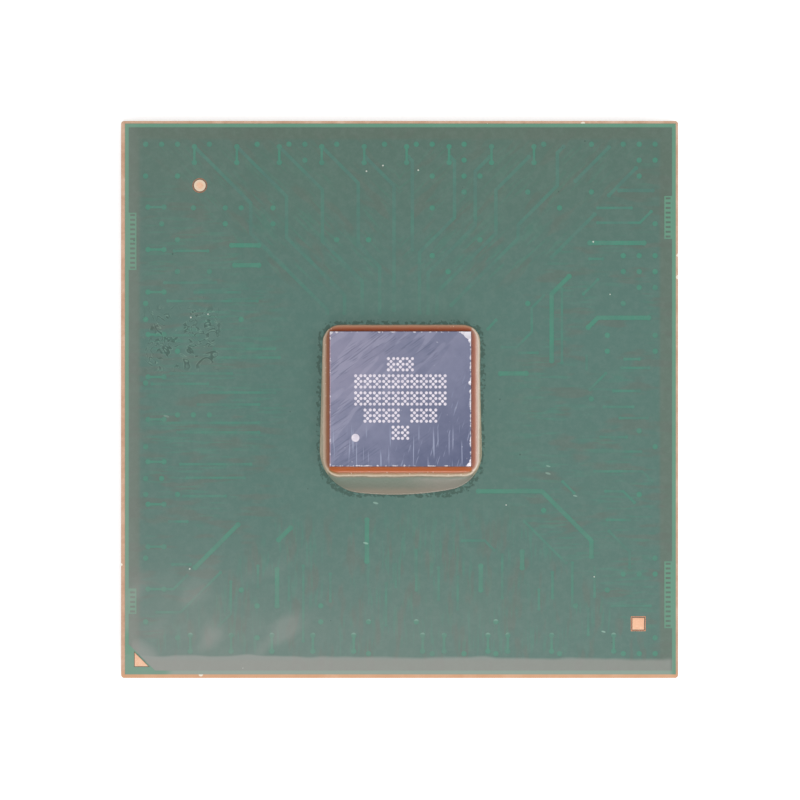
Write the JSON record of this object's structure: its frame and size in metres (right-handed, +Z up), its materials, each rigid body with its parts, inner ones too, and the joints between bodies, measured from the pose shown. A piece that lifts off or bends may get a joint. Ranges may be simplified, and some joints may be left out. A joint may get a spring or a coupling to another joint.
{
  "type": "flip-chip ball grid array package",
  "caption": "Bare-die flip-chip ball grid array: a silicon die glued by a fillet of underfill to a green laminate board, with solder balls in a full grid underneath.",
  "frame": {"origin": "under the centre of the board, in the plane on which the solder balls stand", "axes": "+Z up through the board to the back of the die, +X and +Y along the board's sides, with pin 1 at the corner -X, -Y"},
  "size_m": [0.035, 0.035, 0.0025],
  "materials": {
    "silicon": "polished silicon, opaque, lavender blue with fine scratches",
    "underfill_resin": "cured epoxy, amber, glossy meniscus",
    "solder_mask": "semi-gloss green solder mask, darker over copper",
    "laminate": "sawn edge of glass-fibre laminate",
    "copper": "etched copper foil",
    "bare_copper": "bare copper mark with a preserved matt finish",
    "solder": "reflowed solder, satin"
  },
  "bodies": {
    "root": {"solder_balls": "solder", "bottom_solder_mask": "solder_mask", "ball_lands": "copper", "top_solder_mask": "solder_mask", "top_copper_plane": "copper", "signal_tracks": "copper", "underfill": "underfill_resin", "solder_bumps": "solder", "bump_pads": "copper", "silicon_die": "silicon", "laminate_board": "laminate", "round_fiducial": "bare_copper", "square_fiducial": "bare_copper", "corner_triangle": "bare_copper", "edge_code_bars": "copper"}
  },
  "joints": []
}
